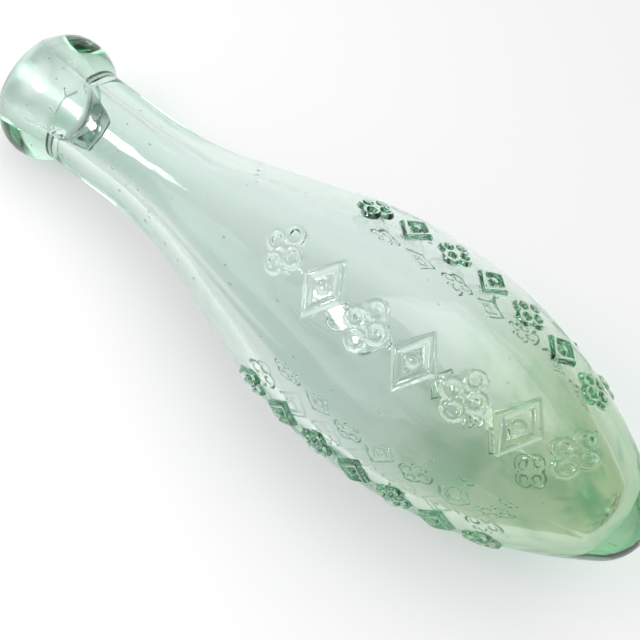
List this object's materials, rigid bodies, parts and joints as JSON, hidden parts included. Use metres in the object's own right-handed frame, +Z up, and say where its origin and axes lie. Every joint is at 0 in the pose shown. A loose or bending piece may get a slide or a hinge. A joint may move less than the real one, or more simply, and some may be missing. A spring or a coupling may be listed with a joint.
{
  "type": "bottle",
  "caption": "Antique mould-blown aqua glass bottle with a pointed base and an applied rounded lip; it lies on its side and its neck takes a cork.",
  "frame": {"origin": "middle of the bottle's length on the surface that it lies on", "axes": "+X towards the base point and -X towards the mouth, +Z up, -Y the front; the bottle lies on its belly and its lip, so its own axis dips 7.26 degrees towards the mouth"},
  "size_m": [0.188, 0.0624, 0.0616],
  "materials": {
    "aqua_glass": "clear pale aqua-green soda-lime glass, glossy, with seeds and slightly wavy walls"
  },
  "bodies": {
    "root": {"glass_body": "aqua_glass", "applied_lip": "aqua_glass", "upper_ornament": "aqua_glass", "lower_ornament": "aqua_glass"}
  },
  "joints": []
}
